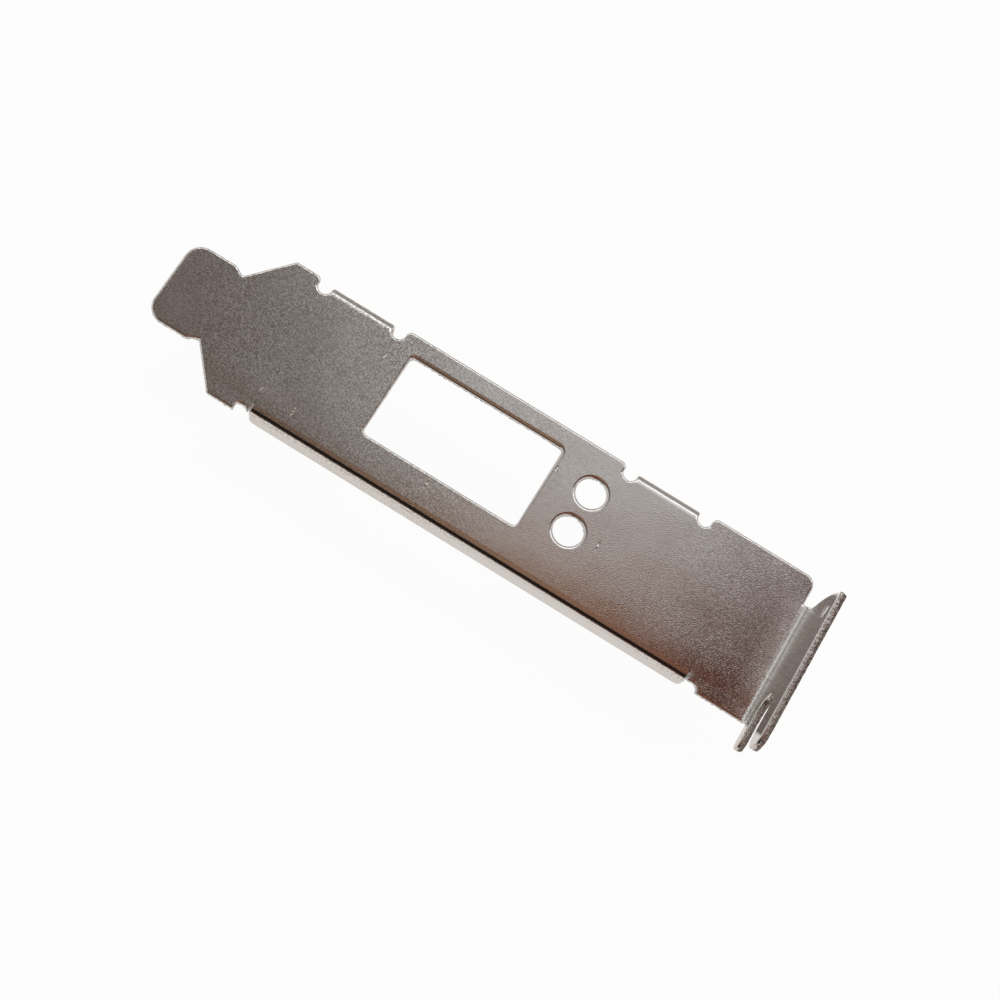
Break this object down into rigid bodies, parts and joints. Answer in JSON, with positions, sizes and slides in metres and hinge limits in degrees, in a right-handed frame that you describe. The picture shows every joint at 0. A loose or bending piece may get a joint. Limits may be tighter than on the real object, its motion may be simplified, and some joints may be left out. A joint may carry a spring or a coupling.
{
  "type": "low profile bracket",
  "caption": "Punched and folded steel bracket for a half height expansion card, with a chassis tongue, tapped tabs, stiffening lip, connector opening and a slotted screw flange.",
  "frame": {"origin": "middle of the screw slot's round end, on the flange's seat", "axes": "+X along the plate from the tongue to the flange, +Y across the plate towards the tapped tabs, +Z out of the plate's outer face, the side that the flange stands on"},
  "size_m": [0.08, 0.0233, 0.0202],
  "materials": {
    "plated_steel": "matt plated, fine grain"
  },
  "bodies": {
    "root": {"bracket": "plated_steel"}
  },
  "joints": []
}
